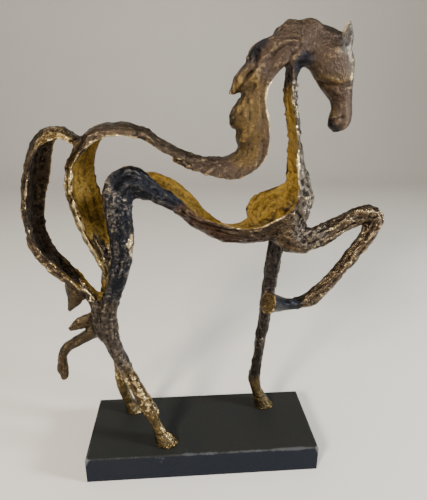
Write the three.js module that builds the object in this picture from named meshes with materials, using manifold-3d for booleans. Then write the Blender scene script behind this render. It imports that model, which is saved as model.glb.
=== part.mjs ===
// An openwork horse, cast as one piece and standing on a rectangular plinth.
// The horse is drawn in bands: long gutters follow its outline, open towards the inside of the
// body, and round limbs carry it. Millimetres, +X towards the head, +Y towards the horse's left
// flank, +Z up. The origin is the middle of the plinth's underside.
import * as THREE from "three";
import { mergeVertices } from "three/addons/utils/BufferGeometryUtils.js";
import Module from "manifold-3d";

const wasm = await Module();
wasm.setup();

// ---- Driving dimensions ----
const PLINTH = { length: 260, depth: 100, height: 32, edge: 1.6 };
const REST_GAP = 0.3; // between the hooves and the plinth
const FLOOR = PLINTH.height + REST_GAP; // the level the hooves stand on
const RING_STEP = 14; // the usual distance between two rings of a band or limb
const RING_TURN = 14; // the usual turn between two rings in a bend, in degrees
const LIMB_SIDES = 9;
const LIP_STEPS = 5; // facets across a gutter's back

const FINISH = {
  bronze: { color: 0x4a3726, roughness: 0.48, metalness: 0.75 },
  slate: { color: 0x2b2e30, roughness: 0.62, metalness: 0.0 },
};

const radians = THREE.MathUtils.degToRad;

// ---- Rings, skins and solids ----

// The value at t, from 0 to 1, of a smooth curve through evenly spaced rows of numbers.
function rowAt(rows, t) {
  const along = Math.min(t * (rows.length - 1), rows.length - 1 - 1e-9);
  const i = Math.floor(along);
  const w = along - i;
  const row = (k) => rows[Math.max(0, Math.min(rows.length - 1, k))];
  const [a, b, c, d] = [row(i - 1), row(i), row(i + 1), row(i + 2)];
  return b.map(
    (_, k) =>
      0.5 *
      (2 * b[k] +
        (c[k] - a[k]) * w +
        (2 * a[k] - 5 * b[k] + 4 * c[k] - d[k]) * w * w +
        (3 * b[k] - a[k] - 3 * c[k] + d[k]) * w * w * w),
  );
}

// Rings of points along a path. Each row starts with a station's x, y and z, and section turns the
// rest of the row into the ring's points [outward, across]: outward is to the left of the path in
// the side view, across is towards +Y. Rings stand closer together where the path bends.
function ringsAlong(rows, section) {
  const spans = rows.length - 1;
  const place = (t) => new THREE.Vector3(...rowAt(rows, t));
  const heading = (t) => {
    const [before, after] = [Math.max(0, t - 0.01), Math.min(1, t + 0.01)];
    return place(after).sub(place(before)).normalize();
  };
  const ringAt = (t) => {
    const tangent = heading(t);
    const across = new THREE.Vector3(0, 1, 0);
    across.addScaledVector(tangent, -tangent.y).normalize();
    const outward = tangent.clone().cross(across);
    const sizes = rowAt(rows, t).slice(3);
    return section(...sizes).map(([u, v]) =>
      place(t).addScaledVector(outward, u).addScaledVector(across, v),
    );
  };
  const rings = [ringAt(0)];
  for (let s = 0; s < spans; s++) {
    const [from, to] = [s / spans, (s + 1) / spans];
    const length = place(from).distanceTo(place(to));
    const turn = heading(from).angleTo(heading(to));
    const wanted = [length / RING_STEP, turn / radians(RING_TURN)];
    const count = Math.max(1, ...wanted.map(Math.round));
    for (let k = 1; k <= count; k++) rings.push(ringAt((s + k / count) / spans));
  }
  return rings;
}

// A closed skin over rings with the same number of points, with a flat cap at each end.
function skin(rings, flatRing) {
  const sides = rings[0].length;
  const faces = [];
  const caps = THREE.ShapeUtils.triangulateShape(flatRing, []);
  const last = (rings.length - 1) * sides;
  for (let r = 0; r + 1 < rings.length; r++)
    for (let s = 0; s < sides; s++) {
      const [a, b] = [r * sides + s, r * sides + ((s + 1) % sides)];
      faces.push(a, b, b + sides, a, b + sides, a + sides);
    }
  for (const [a, b, c] of caps)
    faces.push(a, c, b, last + a, last + b, last + c);
  const geometry = new THREE.BufferGeometry().setFromPoints(rings.flat());
  geometry.setIndex(faces);
  return geometry;
}

// A closed geometry as a manifold-3d solid. Faces that point inwards are turned round.
function solidOf(geometry) {
  const bare = geometry.clone().deleteAttribute("normal").deleteAttribute("uv");
  const merged = mergeVertices(bare, 1e-4);
  const build = (triVerts) =>
    new wasm.Manifold(
      new wasm.Mesh({
        numProp: 3,
        vertProperties: new Float32Array(merged.attributes.position.array),
        triVerts,
      }),
    );
  const faces = new Uint32Array(merged.index.array);
  const made = build(faces);
  return made.volume() > 0 ? made : build(faces.reverse());
}

function geometryOf(solid) {
  const mesh = solid.getMesh();
  const geometry = new THREE.BufferGeometry();
  const position = new THREE.BufferAttribute(mesh.vertProperties, 3);
  geometry.setAttribute("position", position);
  geometry.setIndex(new THREE.BufferAttribute(mesh.triVerts, 1));
  return geometry;
}

// A round limb. Each row is x, y, z, half-breadth in the side view, half-breadth from flank to
// flank, and a turn in degrees about the limb.
function limb(rows, sides = LIMB_SIDES) {
  const section = (thick, deep, turn = 0) => {
    const [c, s] = [Math.cos(radians(turn)), Math.sin(radians(turn))];
    return Array.from({ length: sides }, (_, k) => {
      const angle = (2 * Math.PI * k) / sides;
      const [u, v] = [thick * Math.cos(angle), deep * Math.sin(angle)];
      return [u * c - v * s, u * s + v * c];
    });
  };
  const flat = section(...rows[0].slice(3)).map((p) => new THREE.Vector2(...p));
  return solidOf(skin(ringsAlong(rows, section), flat));
}

// A gutter, the shape of a half-open pipe. Each row is x, y, z of its crown, the outermost line,
// then how deep the gutter is, its half-breadth, its wall, and how far round its near and far
// walls reach, in degrees from the crown.
function gutter(rows) {
  const section = (rise, wide, wall, near, far) => {
    const arc = (inset) =>
      Array.from({ length: LIP_STEPS + 1 }, (_, k) => {
        const angle = radians(-near + ((near + far) * k) / LIP_STEPS);
        return [
          (rise - inset) * Math.cos(angle) - rise,
          (wide - inset) * Math.sin(angle),
        ];
      });
    return [...arc(0), ...arc(wall).reverse()];
  };
  const flat = section(...rows[0].slice(3)).map((p) => new THREE.Vector2(...p));
  return solidOf(skin(ringsAlong(rows, section), flat));
}

const joined = (solids) => solids.reduce((all, next) => all.add(next));

// ---- The body's bands ----

// From the hock up the buttock, over the croup and along the back to the withers.
function toplineBand() {
  return gutter([
    [-98, -4, 214, 9, 13, 6, 80, 90],
    [-103, -3, 236, 12, 16, 5, 62, 96],
    [-114, -2, 260, 17, 21, 4.5, 56, 108],
    [-124, 0, 282, 22, 25, 4.5, 54, 108],
    [-130, 0, 304, 24, 26, 4.5, 57, 104],
    [-132, 0, 325, 24, 26, 4.5, 57, 97],
    [-128, 0, 345, 22, 25, 5, 52, 92],
    [-119, 0, 361, 19, 23, 6, 58, 90],
    [-107, 0, 375, 16, 21, 6, 80, 86],
    [-90, 0, 383, 15, 20, 5.5, 86, 86],
    [-70, 0, 383, 13, 19, 5.5, 86, 86],
    [-50, 0, 377, 12, 18, 5.5, 84, 84],
    [-30, 0, 364, 12, 16, 5.5, 84, 84],
    [-10, 0, 354, 11, 14, 5.5, 80, 80],
    [14, 0, 350, 10, 12, 5.5, 76, 76],
  ]);
}

// From the withers up the crest of the neck to the poll.
function crestBand() {
  return gutter([
    [-27, 0, 351, 5, 11, 4, 80, 80],
    [-14, 0, 350, 11, 15, 5.5, 88, 88],
    [4, 0, 350, 16, 17, 5.5, 90, 88],
    [22, 0, 351, 21.5, 18, 5.5, 92, 90],
    [35, 0, 357, 25, 18, 5.5, 92, 90],
    [41, 0, 370, 24, 18, 5.5, 92, 90],
    [40, 0, 384, 22.5, 18, 5.5, 92, 90],
    [37, 0, 399, 22, 18, 5.5, 90, 88],
    [40, 0, 418, 22, 18, 5.5, 90, 88],
    [50, 0, 438, 22.4, 17, 5.5, 92, 90],
    [65, 0, 454, 24, 17, 6, 94, 92],
    [81, 0, 463, 29, 17, 7, 92, 90],
    [96, 0, 466, 33, 17, 8, 88, 88],
  ]);
}

// Down the throat, round the breast and back along the belly to the flank.
function underlineBand() {
  return gutter([
    [103, -3, 461, 8, 12, 5, 80, 80],
    [96, -3, 449, 12, 15, 5, 80, 80],
    [91, -2, 435, 11.5, 16.5, 5, 80, 80],
    [90, 0, 420, 10.5, 16, 4.5, 78, 86],
    [91, 1, 404, 9.5, 17, 4.2, 76, 92],
    [94.5, 1, 384, 9, 18, 4.2, 76, 94],
    [98.5, 1, 364, 9, 19, 4.2, 78, 92],
    [101, 1, 347, 12, 21, 4.2, 84, 94],
    [109, 1, 330, 19, 23, 4.5, 86, 96],
    [116, 1, 311, 25, 24, 5, 88, 96],
    [112, 1, 291, 28, 25, 6, 88, 96],
    [99, 1, 275, 29, 26, 6, 88, 94],
    [82, 1, 267, 27, 26, 5.5, 90, 90],
    [64, 1, 262, 26, 26, 5.5, 85, 86],
    [44, 1, 260, 28, 26, 5.5, 80, 64],
    [24, 1, 262, 32, 26, 5.5, 76, 54],
    [6, 1, 269, 33, 26, 5.5, 71, 58],
    [-10, 1, 280, 30, 26, 5.5, 63, 68],
    [-24, 1, 292, 30, 26, 5.5, 61, 76],
    [-38, 1, 303, 30, 27, 5.5, 66, 80],
    [-52, 0, 309, 26, 27, 5.5, 78, 84],
    [-68, -3, 313, 22, 25, 5.5, 84, 84],
  ]);
}

// Curved plates of the left flank and left shoulder, whose hollow sides show through the body.
function farPlates() {
  return [
    limb([
      [-66, 25, 326, 6, 3],
      [-48, 27, 321, 8, 3],
      [-30, 28, 312, 9, 3],
      [-16, 28, 301, 8, 3],
      [-2, 27, 288, 4, 3],
    ]),
    limb([
      [104, 23, 306, 18, 4],
      [88, 24, 300, 20, 3.2],
      [72, 25, 293, 20, 3],
      [58, 26, 289, 16, 3],
      [50, 26, 287, 7, 2.6],
    ]),
  ];
}

// ---- Legs ----

// The right thigh rises over the flank like a bent knee, and runs down through the hock.
function nearHindLeg() {
  return limb([
    [-20, -22, 301, 3, 2.5],
    [-36, -23, 314, 8, 5],
    [-58, -24, 329, 14.5, 8],
    [-69, -25, 332, 15, 8],
    [-78, -26, 321, 15.5, 8.5],
    [-79, -27, 300, 14.5, 9],
    [-78, -26, 278, 13.5, 9],
    [-79, -24, 255, 10.8, 9],
    [-84, -22, 236, 10.8, 9],
    [-92, -20, 214, 10.4, 9],
    [-98, -20, 192, 10, 9],
    [-98, -21, 172, 10.4, 9],
    [-91, -23, 150, 9, 8],
    [-80, -26, 125, 8.3, 8],
    [-69, -28, 100, 8.6, 8],
    [-59, -30, 78, 10, 9],
    [-56, -30, 70, 7.5, 7.5],
    [-53, -30, 60, 6, 6.5],
    [-49, -30, 48, 7.4, 7.5],
    [-45, -30, 39, 10, 9.5],
    [-41, -30, 26, 14.5, 12.5],
  ]);
}

function farHindLeg() {
  return limb([
    [-32, 24, 306, 3, 2.5],
    [-50, 24, 321, 8, 5],
    [-74, 25, 324, 12, 7],
    [-86, 26, 304, 13, 7],
    [-90, 25, 276, 13, 7],
    [-95, 23, 248, 11, 7.5],
    [-99, 21, 220, 10, 8],
    [-103, 20, 196, 10, 8.5],
    [-104, 21, 172, 9.5, 8],
    [-101, 23, 140, 8, 7],
    [-98, 24, 105, 7, 7],
    [-96, 26, 72, 7.5, 7.5],
    [-90, 27, 48, 6.5, 7],
    [-81, 27, 26, 11, 11],
  ]);
}

// The left foreleg stands straight below the breast and leans back to its fetlock.
function standingForeleg() {
  return limb([
    [92, 12, 290, 12, 9],
    [85, 19, 260, 11, 10],
    [82, 23, 230, 9.5, 9.5],
    [79, 24, 195, 9, 9],
    [76, 24, 160, 8, 8.5],
    [72, 24, 125, 7.5, 7.5],
    [68, 25, 90, 7.5, 7.5],
    [67, 25, 73, 8.5, 8],
    [70, 25, 58, 7, 7],
    [76, 26, 44, 8.5, 8.5],
    [82, 26, 26, 13, 12],
  ]);
}

// The right foreleg is raised and folded, its hoof turned back and out.
function raisedForeleg() {
  return limb([
    [74, -8, 272, 7, 7],
    [90, -18, 267, 12.5, 10],
    [106, -21, 270, 13, 10],
    [124, -22, 277, 12, 9.5],
    [144, -23, 289, 10, 9],
    [162, -23, 297, 10.5, 9],
    [172, -23, 292, 11, 9.5],
    [169, -23, 278, 9.5, 9],
    [156, -23, 257, 8, 7.5],
    [140, -23, 235, 7.5, 7.5],
    [126, -23, 218, 8, 8],
    [114, -23, 206, 9, 8.5],
    [100, -25, 201, 6.5, 7],
    [86, -28, 202, 7, 7],
    [75, -33, 206, 9.5, 9],
    [65, -39, 210, 12.5, 11.5],
  ]);
}

// The right shoulder ties the breast, the belly and the raised leg together.
function shoulder() {
  return limb([
    [101, -16, 314, 6, 6],
    [97, -18, 298, 11, 8],
    [90, -19, 283, 14, 9],
    [86, -18, 267, 12, 9],
    [88, -14, 257, 6, 6],
  ]);
}

// ---- Head, ears and mane ----

function head() {
  const TURN = 20; // the face looks a little to its right
  return limb(
    [
      [94, 0, 453, 15, 13, TURN],
      [107, 0, 451, 18.4, 15, TURN],
      [118, -1, 443, 22.6, 17, TURN],
      [124, -1, 431, 22.5, 17, TURN],
      [127, -2, 420, 18.5, 15.5, TURN],
      [130.5, -3, 411, 13.5, 13, TURN],
      [133, -4, 403, 10.5, 10.5, TURN],
      [134, -5, 394, 10, 9.5, TURN],
      [133, -5, 386, 12.5, 10.5, TURN],
      [132, -5, 379, 11.5, 10, TURN],
      [133, -5, 374, 6, 6, TURN],
    ],
    14,
  );
}

// The gullet rounds the arch between the throat and the jaw.
function gullet() {
  return limb([
    [84, -3, 434, 7, 9],
    [91, -4, 441, 9, 11],
    [99, -4, 440, 9.5, 11],
    [106, -4, 434, 9, 9],
  ]);
}

// A pricked ear, like a short upright leaf.
function ear(x, y) {
  return limb(
    [
      [x - 2, y, 442, 6, 5],
      [x - 0.5, y, 450, 6, 4.4],
      [x + 1, y, 457, 5.4, 3.4],
      [x + 1, y, 463, 3.8, 2.4],
      [x + 1.5, y, 468.4, 0.9, 0.8],
    ],
    8,
  );
}

// Locks of the mane, each from the side of the neck to its tip behind the crest. The two sides
// mirror each other.
function maneLocks() {
  const locks = [
    [
      [110, 8, 455, 7, 6],
      [100, 8, 464, 7.5, 6.5],
      [90, 7, 466, 5, 5],
      [84, 6, 463, 2, 3],
    ],
    [
      [94, 10, 455, 8, 6],
      [84, 9, 461, 8, 6.5],
      [75, 8, 463, 6.5, 6.5],
      [68, 6, 458, 2.5, 4],
    ],
    [
      [84, 11, 449, 10, 6],
      [66, 10, 449, 9.5, 7],
      [52, 8, 444, 8, 7],
      [43, 6, 437, 3, 4],
    ],
    [
      [61, 11, 435, 9, 5.5],
      [48, 10, 427, 10.5, 7],
      [37, 8, 417, 8.5, 7],
      [28, 6, 407, 2, 3],
    ],
    [
      [52, 11, 407, 9, 5.5],
      [43, 10, 396, 10, 7],
      [34, 8, 385, 8.5, 7],
      [34, 6, 376, 4, 5],
    ],
    [
      [54, 12, 389, 8, 5],
      [47, 11, 377, 9.5, 7],
      [40, 8, 366, 7, 7],
      [39, 6, 359, 3, 4],
    ],
  ];
  const LOCK_SIDES = 8;
  const onSide = (rows, side) => rows.map(([x, y, ...rest]) => [x, side * y, ...rest]);
  return locks.flatMap((rows) => [-1, 1].map((side) => limb(onSide(rows, side), LOCK_SIDES)));
}

// ---- Tail ----

// The arched tail is a half-open pipe. Its near lip swells into a strand, and its end splits into
// a point, a leaf and a curl.
function tail() {
  const STRAND_SIDES = 7;
  const strand = (rows) => limb(rows, STRAND_SIDES);
  return [
    gutter([
      [-100, 0, 188, 8, 14, 5, 84, 84],
      [-119, 0, 200, 8, 15, 4.5, 84, 86],
      [-142, 0, 229, 9, 16, 4.2, 84, 90],
      [-164, 0, 254, 10, 18, 4.2, 84, 94],
      [-173, 0, 278, 12, 21, 4.2, 76, 98],
      [-174, 0, 304, 14, 23, 4.2, 68, 98],
      [-170, 0, 330, 17, 23, 4.2, 60, 98],
      [-163, 0, 354, 17, 21, 4.5, 58, 96],
      [-153, 0, 371, 15, 18, 5, 70, 92],
      [-139, 0, 379, 14, 15, 5, 86, 88],
      [-124, 0, 378, 12, 13, 5, 84, 84],
      [-112, 0, 368, 10, 12, 5, 80, 80],
    ]),
    strand([
      [-168, -9, 288, 3, 4],
      [-167, -12, 267, 4, 4],
      [-160, -12, 250, 4, 4],
      [-148, -12, 238, 4.5, 4],
      [-134, -11, 224, 4, 4],
    ]),
    limb([
      [-132, -5, 222, 11, 7],
      [-131, -6, 206, 9, 6],
      [-140, -6, 191, 1.5, 1.5],
    ]),
    limb([
      [-103, -10, 184, 8, 8],
      [-118, -8, 181, 7.5, 5],
      [-130, -8, 176, 6.5, 4],
      [-141, -8, 170, 2, 2],
    ]),
    limb([
      [-102, -10, 174, 7, 8],
      [-114, -10, 168, 7.5, 7],
      [-130, -10, 159, 5.5, 6],
      [-145, -10, 150, 5, 5],
      [-152, -10, 137, 4.5, 4.5],
      [-153, -10, 122, 6, 4.5],
      [-152, -10, 110, 2, 2],
    ]),
  ];
}

// The tail's last strands and both hocks are fused into one lump.
function hockBridge() {
  return [
    limb([
      [-126, -8, 230, 2, 3],
      [-114, -12, 213, 6, 7],
      [-109, -15, 198, 8, 8],
      [-107, -16, 174, 8, 8],
      [-100, -18, 160, 6, 7],
    ]),
    limb([
      [-98, -16, 200, 9, 9],
      [-101, -2, 190, 9, 14],
      [-104, 14, 182, 8, 9],
    ]),
  ];
}

function horse() {
  const body = joined([
    toplineBand(),
    crestBand(),
    underlineBand(),
    ...farPlates(),
    nearHindLeg(),
    farHindLeg(),
    standingForeleg(),
    raisedForeleg(),
    shoulder(),
    head(),
    gullet(),
    ear(130, -10),
    ear(137, 8),
    ...maneLocks(),
    ...tail(),
    ...hockBridge(),
  ]);
  const below = new THREE.BoxGeometry(PLINTH.length, PLINTH.depth, FLOOR);
  below.translate(0, 0, FLOOR / 2);
  return body.subtract(solidOf(below));
}

// ---- Plinth ----

function plinth() {
  const { length, depth, height, edge } = PLINTH;
  const shape = new THREE.Shape();
  const [x, y] = [length / 2 - edge, depth / 2 - edge];
  shape.moveTo(-x, -y);
  shape.lineTo(x, -y);
  shape.lineTo(x, y);
  shape.lineTo(-x, y);
  shape.closePath();
  const block = new THREE.ExtrudeGeometry(shape, {
    depth: height - 2 * edge,
    bevelEnabled: true,
    bevelThickness: edge,
    bevelSize: edge,
    bevelSegments: 2,
  });
  block.translate(0, 0, edge);
  return block;
}

// ---- The scene graph ----

function mesh(name, geometry, finish) {
  const made = new THREE.Mesh(geometry, new THREE.MeshStandardMaterial(finish));
  made.name = name;
  return made;
}

const sculpture = new THREE.Group();
sculpture.add(mesh("plinth", plinth(), FINISH.slate));
sculpture.add(mesh("horse", geometryOf(horse()), FINISH.bronze));

export default sculpture;
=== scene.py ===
"""The openwork horse sculpture: a cast, patinated horse on a charcoal plinth, dressed over its solids."""

import math

import bmesh
import bpy
import numpy as np
from mathutils import Matrix, Vector
from mathutils.kdtree import KDTree


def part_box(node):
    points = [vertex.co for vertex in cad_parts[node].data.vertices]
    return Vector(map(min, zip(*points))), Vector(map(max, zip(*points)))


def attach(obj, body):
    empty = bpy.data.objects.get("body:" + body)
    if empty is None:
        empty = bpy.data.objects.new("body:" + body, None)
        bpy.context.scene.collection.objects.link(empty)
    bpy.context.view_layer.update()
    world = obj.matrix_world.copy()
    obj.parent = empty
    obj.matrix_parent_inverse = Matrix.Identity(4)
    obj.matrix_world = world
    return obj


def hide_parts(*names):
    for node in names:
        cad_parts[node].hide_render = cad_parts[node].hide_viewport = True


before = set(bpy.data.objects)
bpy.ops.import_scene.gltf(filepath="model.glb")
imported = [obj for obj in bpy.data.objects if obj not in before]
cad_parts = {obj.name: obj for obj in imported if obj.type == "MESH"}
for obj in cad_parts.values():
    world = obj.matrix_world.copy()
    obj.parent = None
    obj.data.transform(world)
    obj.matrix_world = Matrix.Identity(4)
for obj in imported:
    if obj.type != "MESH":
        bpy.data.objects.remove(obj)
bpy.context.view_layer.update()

MM = 0.001
TINY = 1e-12  # keeps a length that is divided by from being nothing
HORSE_LOW, HORSE_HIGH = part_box("horse")
PLINTH_LOW, PLINTH_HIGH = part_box("plinth")
CENTRE = 0.57  # the horse's middle plane, as a share of its width from its right side


def spot(along, across, up):
    """A place by its shares of the horse's length from the tail, width from the right side and height."""
    sides = zip(HORSE_LOW, HORSE_HIGH, (along, across, up))
    return np.array([low + share * (high - low) for low, high, share in sides])


def run(across, *places):
    """A line at one share of the width: each of its places is a share along and a share up."""
    return [spot(along, across, up) for along, up in places]


MIDDLE = spot(0, CENTRE, 0)[1]


def mirrored(line):
    """The same line on the horse's other side."""
    return [np.array([x, 2 * MIDDLE - y, z]) for x, y, z in line]


def both_sides(*lines):
    return [one for line in lines for one in (line, mirrored(line))]


# ---- Places on the horse that the relief and the patina go by ----

# The middle of the hollow body, from the throat down to the hock: what faces it is the gilt inside.
HOLLOW = run(
    CENTRE,
    (0.700, 0.945),
    (0.695, 0.780),
    (0.700, 0.690),
    (0.640, 0.650),
    (0.520, 0.640),
    (0.400, 0.690),
    (0.280, 0.760),
    (0.200, 0.730),
    (0.170, 0.640),
    (0.175, 0.540),
    (0.200, 0.450),
)
TAIL_HOLLOW = run(0.55, (0.150, 0.740), (0.090, 0.740), (0.045, 0.620), (0.060, 0.530), (0.150, 0.420))
TAIL_ROOT = spot(0.145, 0, 0)[0]  # the tail's hollow is behind this place along the horse

HEAD_LINE = [spot(0.80, 0.57, 0.96), spot(0.83, 0.57, 0.91), spot(0.86, 0.52, 0.80)]
EARS = [run(0.45, (0.85, 0.94), (0.855, 0.985)), run(0.665, (0.87, 0.94), (0.875, 0.985))]
# A painted reflection of the light down the front of the face, made silver and brighter.
FOREHEAD_SHEEN = run(0.50, (0.865, 0.93), (0.88, 0.89))
POLL_LINE = run(CENTRE, (0.64, 0.93), (0.72, 0.95), (0.78, 0.95))
THROAT_LINE = run(CENTRE, (0.70, 0.94), (0.79, 0.935))
NECK_LINE = run(
    CENTRE, (0.80, 0.94), (0.70, 0.955), (0.63, 0.91), (0.615, 0.82), (0.63, 0.74), (0.56, 0.695)
)
MANE_LINE = run(0.38, (0.60, 0.86), (0.61, 0.80), (0.60, 0.74))
BREAST_LINE = run(0.38, (0.735, 0.85), (0.765, 0.75), (0.80, 0.65)) + [spot(0.79, 0.33, 0.56)]

BELLY_LINE = [spot(0.42, 0.50, 0.61), spot(0.54, 0.55, 0.53), spot(0.64, 0.57, 0.52)]
FLANK_LINE = [spot(0.30, 0.30, 0.70), spot(0.40, 0.45, 0.65)]
RUMP_LINE = run(0.43, (0.12, 0.74), (0.11, 0.67), (0.125, 0.59), (0.165, 0.52), (0.20, 0.465))
TAIL_ARCH = run(0.50, (0.03, 0.73), (0.075, 0.78), (0.15, 0.74))
TAIL_POINT = run(0.50, (0.12, 0.415), (0.095, 0.365))
LEAF = run(0.48, (0.16, 0.34), (0.10, 0.32))
CURL = run(0.45, (0.15, 0.30), (0.11, 0.28), (0.07, 0.25), (0.06, 0.19))

THIGH_LINE = [spot(0.30, 0.25, 0.68), spot(0.265, 0.25, 0.56), spot(0.24, 0.30, 0.45)]
HOCK_LINE = [spot(0.24, 0.30, 0.47), spot(0.215, 0.33, 0.34), spot(0.25, 0.28, 0.25)]
CANNON_LINE = [spot(0.28, 0.25, 0.18), spot(0.33, 0.22, 0.09)]
FAR_CANNON_LINE = [spot(0.205, 0.83, 0.25), spot(0.22, 0.87, 0.08)]
FOREARM_LINE = run(0.30, (0.785, 0.54), (0.915, 0.59), (0.965, 0.575))
SHIN_LINE = run(0.30, (0.96, 0.55), (0.845, 0.425), (0.785, 0.385))
STANDING_LINE = run(0.86, (0.71, 0.50), (0.71, 0.38), (0.68, 0.12))

LIFTED_HOOF = [spot(0.72, 0.20, 0.39), spot(0.66, 0.10, 0.405)]
SOLE = [spot(0.66, 0.08, 0.405), spot(0.66, 0.08, 0.405) + (0.1 * MM, 0, 0)]
FEET = [spot(0.37, 0.22, 0.0), spot(0.26, 0.88, 0.0), spot(0.72, 0.87, 0.0)]
CORONETS = [spot(0.355, 0.22, 0.035), spot(0.245, 0.88, 0.035), spot(0.705, 0.87, 0.035)]
PASTERNS = [
    run(0.22, (0.34, 0.075), (0.37, 0.0)),
    run(0.87, (0.235, 0.07), (0.26, 0.0)),
    run(0.865, (0.69, 0.07), (0.72, 0.0)),
]

# Lines drawn on the casting's side, on both sides alike. The glints are painted highlights, coloured gold
# or silver.
GLINTS = [
    run(0.20, (0.31, 0.60), (0.30, 0.555), (0.29, 0.52)),  # the thigh's front edge
    run(0.36, (0.155, 0.43), (0.185, 0.39)),  # the strand down to the hock
    run(0.40, (0.86, 0.94), (0.875, 0.915), (0.875, 0.885)),  # the forehead
    run(0.38, (0.71, 0.865), (0.72, 0.82)),  # the throat's near rim
    run(0.38, (0.735, 0.775), (0.75, 0.70)),
    run(0.36, (0.265, 0.755), (0.235, 0.74), (0.205, 0.71)),  # the croup's rim
    run(0.38, (0.665, 0.87), (0.655, 0.85), (0.665, 0.805)),  # the neck's inner rim
    run(0.40, (0.60, 0.92), (0.61, 0.92)),  # two tips of the mane
    run(0.42, (0.55, 0.84), (0.56, 0.835)),
]
# Painted highlights in gold: thin glints along the jaw and down the pastern to the hoof's toe.
GOLD_GLINTS = [
    run(0.42, (0.805, 0.86), (0.82, 0.845), (0.835, 0.82)),  # the jaw
    run(0.22, (0.35, 0.10), (0.36, 0.055), (0.385, 0.02)),  # the pastern and the hoof's toe
]
# Painted shade: dark strokes where shade falls on the mane's outer lobes, in the hollow behind the jaw,
# under the chin and in the fold of the hip.
PAINTED_SHADES = [
    run(0.41, (0.61, 0.93), (0.62, 0.945), (0.635, 0.955)),  # three lobes along the mane's outer edge
    run(0.40, (0.555, 0.815), (0.57, 0.795)),
    run(0.42, (0.555, 0.86), (0.55, 0.85)),
    run(0.39, (0.735, 0.905), (0.75, 0.92)),  # the hollow behind the jaw
    run(0.42, (0.81, 0.805), (0.82, 0.785), (0.84, 0.775)),  # the chin
    run(0.22, (0.275, 0.67), (0.29, 0.685), (0.305, 0.68)),  # the fold of the hip
]
UNDER_CHEEK = run(0.38, (0.80, 0.86), (0.835, 0.855), (0.86, 0.86))
CHEEK_BAND = run(0.38, (0.765, 0.885), (0.80, 0.875), (0.855, 0.885))

# Creases drawn the same way, each with its half-width and its depth in millimetres. Below 0 it is a ridge.
CREASES = [
    (run(0.37, (0.705, 0.905), (0.71, 0.925), (0.73, 0.94)), 1.8, 1.0),  # the jaw
    (run(0.37, (0.735, 0.91), (0.75, 0.925), (0.765, 0.93)), 3.2, 2.2),
    (run(0.37, (0.79, 0.875), (0.815, 0.87), (0.84, 0.87), (0.87, 0.875)), 2.2, 1.8),  # the cheek
    (run(0.40, (0.83, 0.80), (0.845, 0.805), (0.86, 0.81)), 1.4, 1.0),  # the mouth
    (run(0.38, (0.565, 0.835), (0.595, 0.87), (0.615, 0.895)), 1.6, 1.4),  # strands of the mane
    (run(0.37, (0.58, 0.86), (0.60, 0.885), (0.64, 0.915)), 1.4, 0.8),
    (run(0.37, (0.63, 0.935), (0.625, 0.905), (0.605, 0.89)), 2.2, 1.6),
    (run(0.38, (0.565, 0.79), (0.595, 0.82), (0.625, 0.87)), 1.6, 0.9),
    (run(0.37, (0.595, 0.84), (0.605, 0.80), (0.60, 0.76)), 2.0, -0.8),
    (run(0.22, (0.27, 0.67), (0.285, 0.685), (0.305, 0.69)), 3.0, 2.0),  # the hip
    (run(0.46, (0.15, 0.335), (0.10, 0.32)), 1.3, 0.8),  # the leaf
    (run(0.43, (0.06, 0.22), (0.057, 0.19)), 2.4, 1.8),  # the curl's spoon
    (run(0.42, (0.85, 0.95), (0.855, 0.97)), 2.0, 1.2),  # the ear
]
# Single dimples, each with its half-width and its depth in millimetres. Below 0 it is a knob.
DIMPLES = [
    (spot(0.86, 0.39, 0.805), 2.4, 1.6),  # the nostril
    (spot(0.825, 0.37, 0.935), 5.0, -1.4),  # the brow
    (spot(0.35, 0.22, 0.10), 4.5, -1.2),  # the fetlock
    (spot(0.315, 0.22, 0.085), 4.5, -0.9),
    (spot(0.06, 0.45, 0.185), 5.0, -1.6),  # the round end of the curl
]

# The casting's zones, each with its lines and its reach in millimetres: it is whole up to the first
# distance from them, and fades to nothing at the second.
ZONES = {
    "ear": (EARS, 6, 9),
    "ear_rim": (EARS, 5, 8),
    "forehead_sheen": ([FOREHEAD_SHEEN], 7, 12),
    "head": ([HEAD_LINE], 24, 34),
    "poll": ([POLL_LINE], 20, 32),
    "throat": ([THROAT_LINE], 24, 36),
    "crest": ([NECK_LINE], 22, 34),
    "neck": ([NECK_LINE], 30, 42),
    "mane": (both_sides(MANE_LINE), 10, 22),
    "breast": (both_sides(BREAST_LINE), 14, 26),
    "breast_rub": (both_sides(BREAST_LINE), 12, 24),
    "breast_sheen": (both_sides(BREAST_LINE), 14, 24),
    "body": ([HOLLOW], 42, 50),
    "belly": ([BELLY_LINE], 14, 26),
    "underside": ([BELLY_LINE], 16, 30),
    "flank": ([FLANK_LINE], 16, 26),
    "rump": ([RUMP_LINE], 15, 22),
    "tail_arch": ([TAIL_ARCH], 16, 26),
    "tail_hollow": ([TAIL_HOLLOW], 40, 50),
    "slim": ([LEAF, CURL, TAIL_POINT], 9, 13),
    "thigh": ([THIGH_LINE], 12, 34),
    "hock": ([HOCK_LINE], 12, 28),
    "hock_sheen": (both_sides(HOCK_LINE), 14, 28),
    "cannon": ([CANNON_LINE], 10, 36),
    "far_cannon": ([FAR_CANNON_LINE], 12, 24),
    "raised_leg": (both_sides(FOREARM_LINE, SHIN_LINE), 12, 24),
    "standing_leg": ([STANDING_LINE], 14, 20),
    "hoof": (PASTERNS + [LIFTED_HOOF], 10, 22),
    "lifted": ([LIFTED_HOOF], 16, 24),
    "sole": ([SOLE], 11, 14),
}
# The same for the strokes drawn on its sides.
STROKES = {
    "glints": (GLINTS, 1.2, 5),
    "gold_glints_and_ear_rims": (GOLD_GLINTS, 0.8, 3),
    "painted_shades": (PAINTED_SHADES, 4, 9),
    "muzzle": ([UNDER_CHEEK], 3, 12),
    "cheek": ([CHEEK_BAND], 2, 9),
}
STROKE_DEPTH = 13 * MM  # how far in or out of its line's own depth a stroke still shows
SIDE_ON = 0.05  # how much a place faces sideways, at least, for a stroke to show on it


# ---- Noise on lists of points, and how far they are from lines ----

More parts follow.
